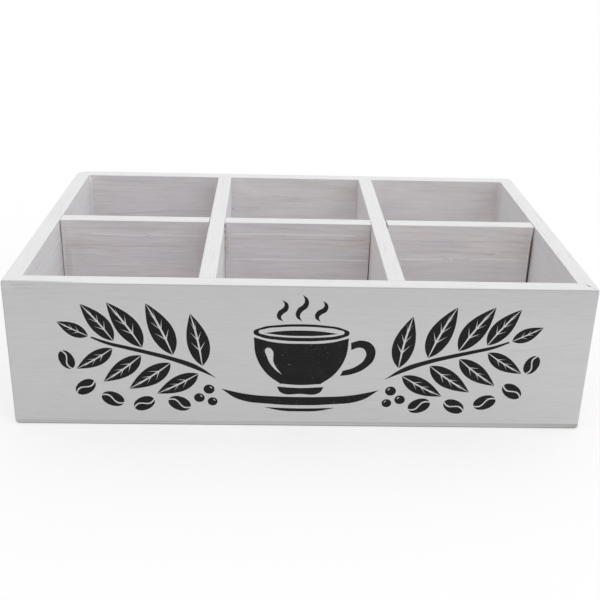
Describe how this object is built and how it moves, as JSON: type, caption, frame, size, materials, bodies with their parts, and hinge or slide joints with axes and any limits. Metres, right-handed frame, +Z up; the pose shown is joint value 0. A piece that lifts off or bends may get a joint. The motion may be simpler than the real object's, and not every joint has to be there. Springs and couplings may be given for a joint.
{
  "type": "coffee station organizer",
  "caption": "Open wooden box with cross-lapped dividers that form six near-equal compartments, for coffee supplies on a countertop.",
  "frame": {"origin": "middle of the underside, on the surface that the box stands on", "axes": "+X runs along the front panel, which is the longest side, +Y runs from the front panel to the back panel, and +Z is up, out of the compartments' open tops"},
  "size_m": [0.305, 0.204, 0.0825],
  "materials": {
    "outer_boards": "matt white paint, thin enough for faint grain",
    "divider_boards": "whitewash with pinkish-grey grain showing through",
    "base_board": "thin plywood, whitewashed, bare at its corners",
    "brads": "bright galvanized wire"
  },
  "bodies": {
    "root": {"front_panel": "outer_boards", "back_panel": "outer_boards", "left_side_panel": "outer_boards", "right_side_panel": "outer_boards", "long_divider": "divider_boards", "left_cross_divider": "divider_boards", "right_cross_divider": "divider_boards", "base_panel": "base_board", "corner_brads": "brads", "cross_divider_brads": "brads", "long_divider_brads": "brads", "base_brads": "brads"}
  },
  "joints": []
}
